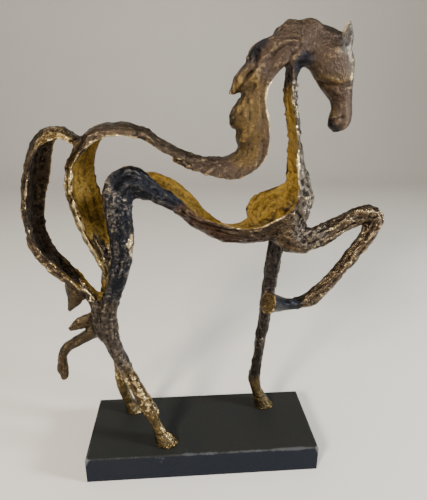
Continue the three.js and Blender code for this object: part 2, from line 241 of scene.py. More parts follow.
# Large odd numbers that stir a cell's whole-numbered place into a value that looks random.
CELL_STIR = (374761393, 668265263, 1442695041)
SEED_STIR = 1274126177
STIRS = [(13, 1103515245, 12345), (15, 2654435761, 0)]
WORD, SHORT = 0xFFFFFFFF, 0xFFFF
TURNS = [Matrix.Rotation(angle, 3, axis) for angle, axis in ((0.7, "X"), (0.5, "Y"), (0.9, "Z"))]
GRAIN_TURN = np.array(TURNS[0] @ TURNS[1] @ TURNS[2])  # sets the noise's cells askew, so that none lines up
LARGE_LUMPS, SMALL_LUMPS, LUMP_RATIO, LUMP_SEED = 0.7, 0.3, 2.1, 7  # large lumps and small ones on them
RIDGE_SHARP = 2.2


def lattice(cells, seed):
    """A steady random value from -1 to 1 for each whole-numbered cell corner."""
    stirred = seed * SEED_STIR + sum(cells[:, axis] * odd for axis, odd in enumerate(CELL_STIR))
    for shift, factor, extra in STIRS:
        stirred = (stirred ^ (stirred >> shift)) & WORD
        stirred = (stirred * factor + extra) & WORD
    return (stirred >> 8 & SHORT) / (SHORT / 2) - 1


def grain(points, cell, seed):
    """Smooth noise from -1 to 1 whose lumps are about one cell wide."""
    turned = points @ GRAIN_TURN / cell
    corner = np.floor(turned).astype(np.int64)
    part = turned - corner
    part = part * part * (3 - 2 * part)
    total = np.zeros(len(points))
    for step in np.ndindex(2, 2, 2):
        share = np.prod(np.where(step, part, 1 - part), axis=1)
        total += share * lattice(corner + step, seed)
    return total


def lumps(points, cell, seed):
    """Two sizes of noise together, as worked clay has."""
    small = grain(points, cell / LUMP_RATIO, seed + LUMP_SEED)
    return LARGE_LUMPS * grain(points, cell, seed) + SMALL_LUMPS * small


def ridged(values):
    """Turns smooth noise into sharp ridges with rounded hollows between them."""
    return 1 - 2 * np.minimum(1, RIDGE_SHARP * np.abs(values))


def ridged_lumps(points, cell, seed):
    return ridged(lumps(points, cell, seed))


def smooth_step(values, start, end):
    part = np.clip((values - start) / (end - start), 0, 1)
    return part * part * (3 - 2 * part)


def nearest_on_line(points, line):
    """The nearest place on a jointed line, how far it is, and which way the line runs there."""
    best = np.full(len(points), np.inf)
    place = np.zeros_like(points)
    heading = np.zeros_like(points)
    for start, end in zip(line, line[1:]):
        stretch = end - start
        share = np.clip((points - start) @ stretch / (stretch @ stretch), 0, 1)
        foot = start + share[:, None] * stretch
        reach = np.linalg.norm(points - foot, axis=1)
        closer = reach < best
        best[closer] = reach[closer]
        place[closer] = foot[closer]
        heading[closer] = stretch / np.linalg.norm(stretch)
    return place, best, heading


def drawn(points, facing, line):
    """How far each point is, seen from the side, from a line drawn there, on both sides alike."""
    depth = abs(np.mean([place[1] for place in line]) - MIDDLE)
    away = nearest_on_line(points * (1, 0, 1), [place * (1, 0, 1) for place in line])[1]
    outwards = facing[:, 1] * np.sign(points[:, 1] - MIDDLE)
    deeper = np.abs(np.abs(points[:, 1] - MIDDLE) - depth)
    return np.where((outwards < SIDE_ON) | (deeper > STROKE_DEPTH), 1.0, away)


def whole_within(distances, inner, outer):
    """1 within the inner distance of any line, fading to 0 at the outer one, both in millimetres."""
    return np.max([1 - smooth_step(away, inner * MM, outer * MM) for away in distances], axis=0)


def near(points, name):
    """How much each point is in one of the zones, from 0 to 1."""
    lines, inner, outer = ZONES[name]
    return whole_within([nearest_on_line(points, line)[1] for line in lines], inner, outer)


def stroked(points, facing, name):
    """How much each point is on one kind of the drawn strokes, from 0 to 1."""
    lines, inner, outer = STROKES[name]
    return whole_within([drawn(points, facing, line) for line in lines], inner, outer)


def faces_line(points, facing, line):
    """How squarely each point faces the nearest place of a line: 1 straight at it, below 0 away from it."""
    centre, away, _ = nearest_on_line(points, line)
    return np.sum((centre - points) * facing, axis=1) / np.maximum(away, TINY)


class Zones(dict):
    """How much each point of the skin is in each zone, from 0 to 1, under the zone's name."""

    def less(self, **shares):
        """1 where none of the zones named is, and less by its share where one is."""
        left = 1
        for name, share in shares.items():
            left = left - share * self[name]
        return left

    def total(self, shares):
        """The zones named, each times its share, added together."""
        return sum(share * self[name] for name, share in shares.items())

    def strongest(self, shares):
        """The highest of the zones named, each times its share."""
        return np.max([share * self[name] for name, share in shares.items()], axis=0)


# ---- The casting's skin ----

SKIN = 1.15 * MM  # the size of the skin's faces before it is thinned
MOST_FACES = 196000
MELT_ROUNDS, MELT_MOST = 45, 0.9 * MM
CREST_FILL = (140, 3.5 * MM)  # the rounds of softening and the most that is filled, along the neck
THROAT_FILL = (260, 6 * MM)  # the same at the throat and the poll, where the bands run together


def linked(piece):
    bpy.context.scene.collection.objects.link(piece)
    return piece


def as_plain_mesh(piece):
    """Applies a piece's modifiers, so that only its mesh is left."""
    evaluated = piece.evaluated_get(bpy.context.evaluated_depsgraph_get())
    plain = bpy.data.meshes.new_from_object(evaluated)
    piece.modifiers.clear()
    piece.data = plain
    plain.name = piece.name
    return piece


def casting_blank(name, node):
    """A solid's closed skin in small even faces, ready to be melted and worked."""
    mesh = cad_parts[node].data.copy()
    joined = bmesh.new()
    joined.from_mesh(mesh)
    bmesh.ops.remove_doubles(joined, verts=joined.verts, dist=0.01 * MM)
    joined.to_mesh(mesh)
    joined.free()
    mesh.materials.clear()
    blank = linked(bpy.data.objects.new(name, mesh))
    remesh = blank.modifiers.new("even faces", "REMESH")
    remesh.mode = "VOXEL"
    remesh.voxel_size = SKIN
    return as_plain_mesh(blank)


class Skin:
    """The points of a skin as numbers: where they are, how they join and which way they face."""

    def __init__(self, mesh):
        self.mesh = mesh
        self.points = np.empty(len(mesh.vertices) * 3)
        mesh.vertices.foreach_get("co", self.points)
        self.points = self.points.reshape(-1, 3)
        edges = np.empty(len(mesh.edges) * 2, np.int64)
        mesh.edges.foreach_get("vertices", edges)
        edges = edges.reshape(-1, 2)
        self.start = np.concatenate([edges[:, 0], edges[:, 1]])
        self.end = np.concatenate([edges[:, 1], edges[:, 0]])
        self.joins = np.bincount(self.start, minlength=len(self.points))

    def average(self, values):
        """Each point's values averaged over the points it joins."""
        if values.ndim == 1:
            return np.bincount(self.start, values[self.end], len(values)) / self.joins
        return np.stack([self.average(column) for column in values.T], axis=1)

    def softened(self, values, rounds):
        for _ in range(rounds):
            values = 0.5 * (values + self.average(values))
        return values

    def facing(self):
        """Each point's outward direction, once the mesh is put where the points are."""
        self.mesh.vertices.foreach_set("co", self.points.ravel())
        self.mesh.update()
        normals = np.empty(len(self.points) * 3)
        self.mesh.vertex_normals.foreach_get("vector", normals)
        return normals.reshape(-1, 3)

    def melt(self, rounds, most):
        """Softens the facets, and moves no point further than the most given."""
        move = self.softened(self.points, rounds) - self.points
        length = np.linalg.norm(move, axis=1)
        self.points = self.points + move * np.minimum(1, most / np.maximum(length, TINY))[:, None]

    def fill(self, rounds, most, share):
        """Fills the valleys between lumps, up to the most given, and leaves the crests where they are."""
        facing = self.facing()
        out = np.sum((self.softened(self.points, rounds) - self.points) * facing, axis=1)
        self.points = self.points + facing * (np.clip(out, 0, most) * share)[:, None]

    def bulge(self, rounds, full):
        """How far each point stands out of its surroundings, from -1 in a crease to 1 on a ridge."""
        out = self.points - self.softened(self.points, rounds)
        return np.clip(np.sum(out * self.facing(), axis=1) / full, -1, 1)


# ---- The way the strands run ----

FLOW_GUIDES = [  # lines that the strands follow, and from how near
    (NECK_LINE, 45 * MM),
    (mirrored(MANE_LINE), 20 * MM),
    (MANE_LINE, 20 * MM),
]
FLOW_GAP = 6  # one point in so many carries the flow
FLOW_NEAR, FLOW_SHARED = 12 * MM, 18 * MM  # how wide the form is felt, and shared with the neighbours
FLOW_STEP, FLOW_STEPS = 1.8 * MM, 10
OWNERS = 3  # how many carriers each point of the skin goes by
OWNER_BLUR = 0.3 * MM
GUIDE_WHOLE = 0.6  # the share of a guide's reach within which it alone leads


def tree_of(points):
    tree = KDTree(len(points))
    for index, point in enumerate(points):
        tree.insert(point, index)
    tree.balance()
    return tree


def found_near(tree, point, reach):
    return [index for _, index, _ in tree.find_range(point, reach)]


def nearest_of(tree, points):
    return [tree.find(point)[1] for point in points]


class Flow:
    """The way the form runs over the skin: along limbs and bands, and down the neck and the face."""

    def __init__(self, points, guides):
        self.few = points[::FLOW_GAP]
        self.tree = tree_of(self.few)
        core = self.few[::FLOW_GAP]
        core_tree = tree_of(core)
        spread = np.zeros((len(core), 3, 3))
        for index, point in enumerate(core):
            around = self.few[found_near(self.tree, point, FLOW_NEAR)]
            around = around - around.mean(axis=0)
            spread[index] = around.T @ around / max(TINY, np.sum(around * around))
        for line, reach in guides:
            _, away, heading = nearest_on_line(core, line)
            share = (1 - smooth_step(away, GUIDE_WHOLE * reach, reach))[:, None, None]
            spread = spread * (1 - share) + heading[:, :, None] * heading[:, None, :] * share
        shared = [spread[found_near(core_tree, point, FLOW_SHARED)].mean(axis=0) for point in core]
        longest = np.linalg.eigh(np.array(shared))[1][:, :, 2]
        self.way = longest[nearest_of(core_tree, self.few)]
        self.trails = self.follow()
        found = [self.tree.find_n(point, OWNERS) for point in points]
        self.owners = np.array([[index for _, index, _ in some] for some in found])
        away = np.array([[distance for _, _, distance in some] for some in found])
        weights = 1 / (away + OWNER_BLUR) ** 2
        self.weights = weights / weights.sum(axis=1, keepdims=True)
        first = self.way[self.owners[:, :1]]
        self.turned = np.sum(first * self.way[self.owners], axis=2) < 0

    def follow(self):
        """Where the flow leads from each of the few points, step by step, backwards and forwards."""
        trails = {0: self.few}
        for side in (-1, 1):
            place, ahead = self.few, side * self.way
            for step in range(1, FLOW_STEPS + 1):
                place = place + FLOW_STEP * ahead
                way = self.way[nearest_of(self.tree, place)]
                ahead = way * np.where(np.sum(way * ahead, axis=1, keepdims=True) < 0, -1, 1)
                trails[side * step] = place
        return {step: place - self.few for step, place in trails.items()}

    def shift(self, step):
        """How far each point of the skin moves in so many steps along the flow."""
        total = np.zeros((len(self.owners), 3))
        for k in range(OWNERS):
            owner, turned = self.owners[:, k], self.turned[:, k, None]
            moved = np.where(turned, self.trails[-step][owner], self.trails[step][owner])
            total += self.weights[:, k, None] * moved
        return total


# ---- The worked surface ----

# The clay's textures: how high each stands and how wide its lumps are, in millimetres, and its seed.
SWELLS = (0.80, 13, 1)
KNOBS = (0.45, 5.5, 9)
CANNON_KNOBS = (0.25, 4.5, 6)
RUMP_KNOBS = (0.80, 5, 12)
RIM_KNOBS = (1.00, 6, 8)
CRUMPLES = (1.00, 8, 41)
GRIT = (0.32, 2.6, 2)
FOLD_DEPTH, FOLD_WIDE, FOLD_SEED, FOLD_SHARE = 1.1 * MM, 17 * MM, 31, 0.4  # dents in the gilt hollows
PATCH_WIDE, PATCH_SEED, PATCH_FADE = 26 * MM, 21, 0.35  # patches where the clay was worked more or less
LEAST_WORKED, MORE_WORKED = 0.55, 0.9

# Strands combed along the flow, fine, broad and heavy: their width, how far each runs and their seed.
COMBS = [(2.4 * MM, 9 * MM, 3), (5 * MM, 16 * MM, 4), (9 * MM, 18 * MM, 5)]
FINE_HEIGHT, BROAD_HEIGHT, HEAVY_HEIGHT = 0.45 * MM, 0.50 * MM, 0.50 * MM
COMB_STRIDE = 0.6  # how often noise is taken along a strand, as a share of its width
COMB_SPREAD = 0.62  # how far the sum of so many tries strays, for each root of their count

CORONET_DEPTH, CORONET_WIDE, CORONET_REACH = 0.9 * MM, 1.6 * MM, 16 * MM  # the groove above each hoof
HOOF_RISE, HOOF_REACH, HOOF_FLARE, TOE_SHARE = 13 * MM, 22 * MM, 1.4 * MM, 0.5


def strands(points, flow, kinds):
    """Noise drawn out along the flow, like combed clay: for each kind its cell, its reach and its seed."""
    totals = [np.zeros(len(points)) for _ in kinds]
    counts = [0] * len(kinds)
    for step in range(-FLOW_STEPS, FLOW_STEPS + 1):
        place = points + flow.shift(step)
        for index, (cell, reach, seed) in enumerate(kinds):
            stride = max(1, round(COMB_STRIDE * cell / FLOW_STEP))
            if step % stride == 0 and abs(step) * FLOW_STEP <= reach:
                totals[index] += grain(place, cell, seed)
                counts[index] += 1
    return [np.clip(total / (COMB_SPREAD * count**0.5), -1, 1) for total, count in zip(totals, counts)]


def clay(points, texture, shape=lumps):
    """One of the clay's textures, as a height at each point."""
    height, wide, seed = texture
    return height * MM * shape(points, wide * MM, seed)


def bell(away, wide):
    """1 at the middle of a dent or a crease, falling softly to nothing a little past its half-width."""
    return np.exp(-((away / wide) ** 2))


def relief(points, facing, zones, combs):
    """How far each point is raised, from the worked clay's lumps, strands and creases."""
    fine, broad, heavy = combs
    calm = zones.less(head=0.8, neck=0.45) * zones.less(ear=0.9) * zones.less(throat=0.5)
    even = zones.less(hock=0.35)
    patches = smooth_step(lumps(points, PATCH_WIDE, PATCH_SEED), -PATCH_FADE, PATCH_FADE)
    worked = LEAST_WORKED + MORE_WORKED * patches
    height = clay(points, SWELLS) * calm
    height += clay(points, KNOBS) * worked * calm
    height += clay(points, GRIT, grain) * (0.45 + 0.55 * worked) * zones.less(head=0.4)
    height += FINE_HEIGHT * fine * worked * zones.less(head=0.55) * even
    height += BROAD_HEIGHT * broad * zones.less(head=0.55, neck=0.2) * even
    scored = zones.total({"all": 0.5, "cannon": 0.5, "head": -0.4})
    height += HEAVY_HEIGHT * ridged(heavy) * scored * worked * even
    crumpled = zones.total({"all": 0.40, "breast": 0.50, "cannon": 0.30})
    crumpled = crumpled * zones.less(head=1) * zones.less(neck=0.8) * zones.less(gilt=0.6)
    height += crumpled * clay(points, CRUMPLES, ridged_lumps)
    height += zones["cannon"] * clay(points, CANNON_KNOBS)
    height += zones["rump"] * clay(points, RUMP_KNOBS)
    height += zones["rim"] * zones.less(gilt=-0.8) * clay(points, RIM_KNOBS)
    folds = np.minimum(0, ridged_lumps(points, FOLD_WIDE, FOLD_SEED) + FOLD_SHARE)
    height += FOLD_DEPTH * zones["gilt"] * folds
    height *= zones.less(hoof=0.75) * zones.less(ear=0.8) * zones.less(slim=0.6)
    height += MM * zones.strongest({"ear": 0.5, "slim": 0.9})
    for line, wide, deep in CREASES:
        height -= deep * MM * bell(drawn(points, facing, line), wide * MM)
    for centre, wide, deep in DIMPLES:
        for (place,) in both_sides([centre]):
            height -= deep * MM * bell(np.linalg.norm(points - place, axis=1), wide * MM)
    for centre in CORONETS:
        around = np.linalg.norm(points - centre, axis=1) < CORONET_REACH
        height -= CORONET_DEPTH * bell(points[:, 2] - centre[2], CORONET_WIDE) * around
    return height


def shod(points):
    """Flares each hoof towards the ground, most at its toe, and flattens its sole."""
    shaped = points.copy()
    for foot in FEET:
        out = (shaped - foot) * (1, 1, 0)
        away = np.maximum(np.linalg.norm(out, axis=1), TINY)
        out /= away[:, None]
        low = np.clip(1 - (shaped[:, 2] - foot[2]) / HOOF_RISE, 0, 1) * (away < HOOF_REACH)
        toe = 1 + TOE_SHARE * out[:, 0]
        shaped += out * (HOOF_FLARE * low * toe)[:, None]
    ground = HORSE_LOW[2]
    shaped[:, 2] = np.where(shaped[:, 2] < ground + SKIN, ground, shaped[:, 2])
    return shaped


# ---- What the finish reads: how much of each mark a zone gets ----

RUBBED_ALL_OVER = 0.10
RUBBED_AND_LIT = {  # how much lighter a zone is made than the rest, rubbed bright or given painted light, or darker where it is below 0
    "side": 0.20,
    "shins": 0.35,
    "breast_rub": 0.05,
    "open_rim": 0.55,
    "rump": 0.70,
    "thigh": 0.20,
    "flank": -0.15,
    "neck": -0.15,
    "head": -0.20,
    "standing_leg": -0.30,
    "underside": -0.30,
    "tail_arch": -0.55,
    "hock": -0.15,
    # painted shade: the downward faces of the leaf, the curl and the tail's point are kept darker
    "slim_shaded_below": -0.45,
    # the forehead's painted reflection
    "forehead_sheen": 0.15,
}
RUBBED_AND_LIT_LAST = {  # the same, added after the hooves are calmed; the glints are painted highlights and the shade strokes painted shade
    "hoof": 0.20,
    "glints": 0.8,
    "gold_glints_and_ear_rims": 0.7,
    "painted_shades": -0.4,
    "lifted": -0.35,
    "sole": -0.15,
}
CHARCOAL_IN = {  # how much of a colour each zone takes, here and below
    "thigh": 1,
    "flank": 1,
    "standing_shaft": 0.6,
    "lifted": 1,
    # the painted shade strokes are darkened with the charcoal
    "painted_shades": 0.9,
    "underside": 0.35,
    "slim": 0.6,
    "muzzle": 0.35,
    "hock": 0.35,
}
# Silver is partly silver wear and partly painted sheen: the breast's and hock's sheen, the glints and the
# forehead's reflection are painted light.
SILVER_AND_SHEEN_IN = {"breast_sheen": 0.6, "hock_sheen": 0.35, "glints": 0.6, "forehead_sheen": 0.7, "ear_hollow": 1}
GOLDEN_IN = {
    "mane": 1,
    "rump": 1,
    "cannon": 0.6,
    "far_cannon": 1,
    "cheek": 0.6,
    # the gold glints here are painted highlights
    "gold_glints_and_ear_rims": 1,
    "shoes": 1,
    "slim": 0.5,
    "sole": 0.9,
}
RUST_IN = {"belly": 1, "muzzle": 0.3, "sole": 0.15}
LEATHER_IN = {"head": 1, "neck": 1}
OUTSIDE_ONLY = (  # zones that leave the gilt hollows alone
    "mane",
    "breast_rub",
    "breast_sheen",
    "belly",
    "hock_sheen",
    "far_cannon",
    "raised_leg",
    "standing_leg",
)
GLINT_BREAK, GLINT_SEED = 4 * MM, 51  # the glints are broken into short bright places
# How many rounds of softening a bulge is measured against, and what counts as its full height.
RIM_BULGE, SMALL_BULGE, LARGE_BULGE = (10, 1.0 * MM), (6, 0.30 * MM), (40, 1.2 * MM)
# Where a measure begins to count and where it counts in full: how much a place faces some way, and so on.
INTO_HOLLOW, INTO_TAIL = (0.25, 0.6), (0.3, 0.7)
POLL_SIDES, SIDEWAYS, UPWARDS = (0.2, 0.5), (0.15, 0.6), (0.3, 0.8)
EAR_OUTWARDS, EAR_BACKWARDS, SOLE_FACING = (0.3, 0.7), (0.35, 0.75), (0.6, 1.0)
RIM_STANDS, GLINT_GAPS, TAIL_FADE = (0.25, 0.7), (-0.35, 0.25), (-8 * MM, 8 * MM)


def form_zones(skin, zones):
    """Adds the zones that the relief goes by."""
    points, facing = skin.points, skin.facing()
    for name in ("head", "thigh", "cannon", "rump", "hock", "breast"):
        zones[name] = near(points, name)
    zones["all"] = 1
    zones["neck"] = near(points, "neck") * (1 - zones["head"])
    zones["throat"] = np.maximum(zones["throat"], near(points, "poll"))
    zones["rim"] = smooth_step(skin.bulge(*RIM_BULGE), *RIM_STANDS)
    inward = smooth_step(faces_line(points, facing, HOLLOW), *INTO_HOLLOW)
    zones["gilt"] = inward * near(points, "body") * (1 - zones["neck"]) * (1 - zones["head"])


def finish_zones(points, facing, zones):
    """Adds the zones that only the finish goes by."""
    for name in ("underside", "flank", "tail_arch", "forehead_sheen"):
        zones[name] = near(points, name)
    for name in STROKES:
        zones[name] = stroked(points, facing, name)
    in_tail = smooth_step(faces_line(points, facing, TAIL_HOLLOW), *INTO_TAIL) * near(points, "tail_hollow")
    zones["tail_inside"] = in_tail * smooth_step(TAIL_ROOT - points[:, 0], *TAIL_FADE)
    zones["gilt"] = zones["gilt"] * (1 - zones["tail_inside"])
    for name in OUTSIDE_ONLY:
        zones[name] = near(points, name) * (1 - zones["gilt"])

    ear, hoof = zones["ear"], zones["hoof"]
    away_from_middle = facing[:, 1] * np.sign(points[:, 1] - MIDDLE)
    zones["ear_hollow"] = ear * smooth_step(away_from_middle, *EAR_OUTWARDS)
    zones["ear_rim"] = near(points, "ear_rim") * smooth_step(-facing[:, 0], *EAR_BACKWARDS)
    # The gold glints are painted highlights; the ears' backward-facing rims join them.
    zones["gold_glints_and_ear_rims"] = np.maximum(zones["gold_glints_and_ear_rims"], zones["ear_rim"])
    zones["glints"] = zones["glints"] * smooth_step(grain(points, GLINT_BREAK, GLINT_SEED), *GLINT_GAPS)
    zones["sole"] = near(points, "sole") * smooth_step(-facing[:, 0] - facing[:, 1], *SOLE_FACING)
    zones["lifted"] = near(points, "lifted") * (1 - zones["sole"])
    zones["shoes"] = hoof * (1 - zones["lifted"]) * (1 - zones["sole"])
    zones["standing_shaft"] = zones["standing_leg"] * (1 - hoof)
    zones["shins"] = zones.strongest({"cannon": 1, "far_cannon": 1, "raised_leg": 0.1})
    zones["side"] = smooth_step(np.abs(facing[:, 1]), *SIDEWAYS)
    zones["open_rim"] = zones["rim"] * zones.less(head=0.8, underside=0.6)
    # Painted shade on the downward faces of the leaf, the curl and the tail's point; their upper faces stay
    # lighter.
    zones["slim_shaded_below"] = zones["slim"] * (1 - smooth_step(facing[:, 2], *UPWARDS))


def marks(skin, zones, combs):
    """The numbers that the finish reads at each point, by name."""
    small, large = skin.bulge(*SMALL_BULGE), skin.bulge(*LARGE_BULGE)
    fine, broad, _ = combs
    rub_and_painted_light = (RUBBED_ALL_OVER + zones.total(RUBBED_AND_LIT)) * zones.less(hoof=0.5) + zones.total(RUBBED_AND_LIT_LAST)
    charcoal = zones.strongest(CHARCOAL_IN) * zones.less(sole=1)
    return {
        "raised": 0.6 * small + 0.4 * large,
        "combed": 0.6 * fine + 0.4 * broad,
        "rub_and_painted_light": rub_and_painted_light,
        "gilt": zones["gilt"],
        # the charcoal gives way where the glints' painted highlights lie
        "charcoal": charcoal * zones.less(gilt=1) * zones.less(glints=0.6),
        "rust": zones.strongest(RUST_IN),
        "leather": zones.strongest(LEATHER_IN),
        "silver_and_sheen": zones.strongest(SILVER_AND_SHEEN_IN),
        "golden": zones.strongest(GOLDEN_IN) * (1 - 0.7 * zones["ear"] * (1 - zones["ear_rim"])),
        "hoof": zones["shoes"],
        "tail_inside": zones["tail_inside"],
    }


def horse_casting():
    """The whole horse as one casting, with its worked surface."""
    piece = casting_blank("horse_casting", "horse")
    skin = Skin(piece.data)
    zones = Zones({name: near(skin.points, name) for name in ("hoof", "ear", "slim")})
    zones["throat"] = near(skin.points, "throat") * (1 - zones["ear"])
    skin.fill(*CREST_FILL, near(skin.points, "crest") * (1 - zones["ear"]))
    skin.fill(*THROAT_FILL, zones["throat"])
    sides = smooth_step(np.abs(skin.facing()[:, 1]), *POLL_SIDES)
    skin.fill(*THROAT_FILL, near(skin.points, "poll") * (1 - zones["ear"]) * sides)
    skin.melt(MELT_ROUNDS, MELT_MOST * zones.less(hoof=0.6, ear=0.8, slim=0.7, throat=-2.0))

    points, facing = skin.points.copy(), skin.facing()
    combs = strands(points, Flow(points, FLOW_GUIDES), COMBS)
    form_zones(skin, zones)
    height = relief(points, facing, zones, combs)
    skin.points = shod(points + facing * height[:, None])
    finish_zones(points, facing, zones)
    for name, values in marks(skin, zones, combs).items():
        mark = piece.data.attributes.new(name, "FLOAT", "POINT")
        mark.data.foreach_set("value", values.astype(np.float32))
    piece.modifiers.new("fewer faces", "DECIMATE").ratio = MOST_FACES / (2 * len(piece.data.polygons))
    as_plain_mesh(piece).data.shade_smooth()
    return piece


# ---- Finishes ----


class Value:
    """A number that varies over a surface, worked on with Python's own operators."""

    def __init__(self, finish, socket):
        self.finish = finish
        self.socket = socket

    def __add__(self, other):
        return self.finish.maths("ADD", self, other)

    def __sub__(self, other):
        return self.finish.maths("SUBTRACT", self, other)

    def __rsub__(self, other):
        return self.finish.maths("SUBTRACT", other, self)

    def __mul__(self, other):
        return self.finish.maths("MULTIPLY", self, other)

    def __abs__(self):
        return self.finish.maths("ABSOLUTE", self)

    __radd__ = __add__
    __rmul__ = __mul__

    def least(self, other):
        return self.finish.maths("MINIMUM", self, other)

    def held(self):
        """The value kept between 0 and 1."""
        return self.finish.maths("ADD", self, 0.0, clamp=True)

    def over(self, start, end):
        """0 below the start and 1 past the end, with a soft step between."""
        sockets = {0: self, 1: start, 2: end, 3: 0.0, 4: 1.0}
        return self.finish.node("ShaderNodeMapRange", {"interpolation_type": "SMOOTHSTEP"}, sockets)


class Finish:
    """A material, made node by node."""

    def __init__(self, name):
        self.material = bpy.data.materials.new(name)
        self.material.use_nodes = True
        self.tree = self.material.node_tree
        self.tree.nodes.clear()
        self.place = self.node("ShaderNodeTexCoord", out="Object")

    def node(self, kind, settings=None, sockets=None, out=0):
        made = self.tree.nodes.new(kind)
        for name, setting in (settings or {}).items():
            setattr(made, name, setting)
        for key, value in (sockets or {}).items():
            if isinstance(value, Value):
                self.tree.links.new(value.socket, made.inputs[key])
            else:
                made.inputs[key].default_value = value
        return Value(self, made.outputs[out])

    def maths(self, operation, *values, clamp=False):
        settings = {"operation": operation, "use_clamp": clamp}
        return self.node("ShaderNodeMath", settings, dict(enumerate(values)))

    def mark(self, name):
        """One of the numbers written at each point of the skin."""
        return self.node("ShaderNodeAttribute", {"attribute_name": name}, out="Fac")

    def apart(self):
        """The place on the object as its three numbers."""
        split = self.node("ShaderNodeSeparateXYZ", None, {0: self.place})
        return [Value(self, output) for output in split.socket.node.outputs]

    def speckle(self, size, detail=3.0, roughness=0.6, shift=0.0):
        """Noise from 0 to 1, with lumps of about the size given, in metres."""
        moved = {0: self.place, 1: (shift, shift, shift)}
        place = self.node("ShaderNodeVectorMath", {"operation": "ADD"}, moved)
        sockets = {"Vector": place, "Scale": 1 / size, "Detail": detail, "Roughness": roughness}
        return self.node("ShaderNodeTexNoise", {"noise_dimensions": "3D"}, sockets)

    def blend(self, share, first, second):
        """The first colour, or the second where the share is 1."""
        first, second = (c if isinstance(c, Value) else (*c, 1.0) for c in (first, second))
        return self.node("ShaderNodeMix", {"data_type": "RGBA"}, {0: share, 6: first, 7: second}, out=2)

    def bump(self, height, depth, strength=1.0):
        sockets = {"Height": height, "Distance": depth, "Strength": strength}
        return self.node("ShaderNodeBump", None, sockets)

    def surface(self, constants, **varying):
        """The shader itself: what is the same all over is set on it, and what varies is linked to it."""
        sockets = {name.replace("_", " "): value for name, value in varying.items()}
        shader = self.node("ShaderNodeBsdfPrincipled", None, {**constants, **sockets})
        output = self.tree.nodes.new("ShaderNodeOutputMaterial")
        self.tree.links.new(shader.socket, output.inputs["Surface"])
        return self.material


# The colours of the patina, as the light shows them.
BRONZE = (0.045, 0.031, 0.020)
LEATHER = (0.056, 0.038, 0.027)
# Pewter, where silver shows: partly the metal's silver wear, partly painted sheen.
PEWTER = (0.070, 0.062, 0.055)
CHARCOAL = (0.011, 0.012, 0.016)
ASH = (0.150, 0.130, 0.110)
RUST = (0.070, 0.028, 0.010)
OLD_GOLD = (0.26, 0.165, 0.055)
OLIVE = (0.095, 0.062, 0.022)
OCHRE = (0.25, 0.150, 0.016)
DEEP_OCHRE = (0.15, 0.085, 0.010)
TAN = (0.21, 0.145, 0.080)
# Silver wear colour, which also carries the painted sheen and glints.
SILVER = (0.24, 0.215, 0.175)
PALE_GOLD = (0.72, 0.57, 0.29)
HOOF_GOLD = (0.085, 0.070, 0.036)
# Near black: for the dark patina and painted shade in the dents, and a little inside the tail's hollow.
NEAR_BLACK = (0.004, 0.004, 0.004)

# The sizes of the patina's patches, flecks and finest grain, and how deep the flecks lie.
PATCH_SIZE, FLECK_SIZE, FINE_SIZE, FLECK_DEPTH = 16 * MM, 2.4 * MM, 0.8 * MM, 1.4 * MM
# Where noise, wear and painted light begin to show a colour, and where it is whole.
CLOUDS, GILT_SHADES, GRIMY_AND_SHADED = (0.38, 0.62), (0.40, 0.60), (0.10, 0.75)
WORN_THROUGH_AND_LIT, BRIGHT_WEAR_AND_GLINTS = (0.25, 1.00), (0.95, 1.45)


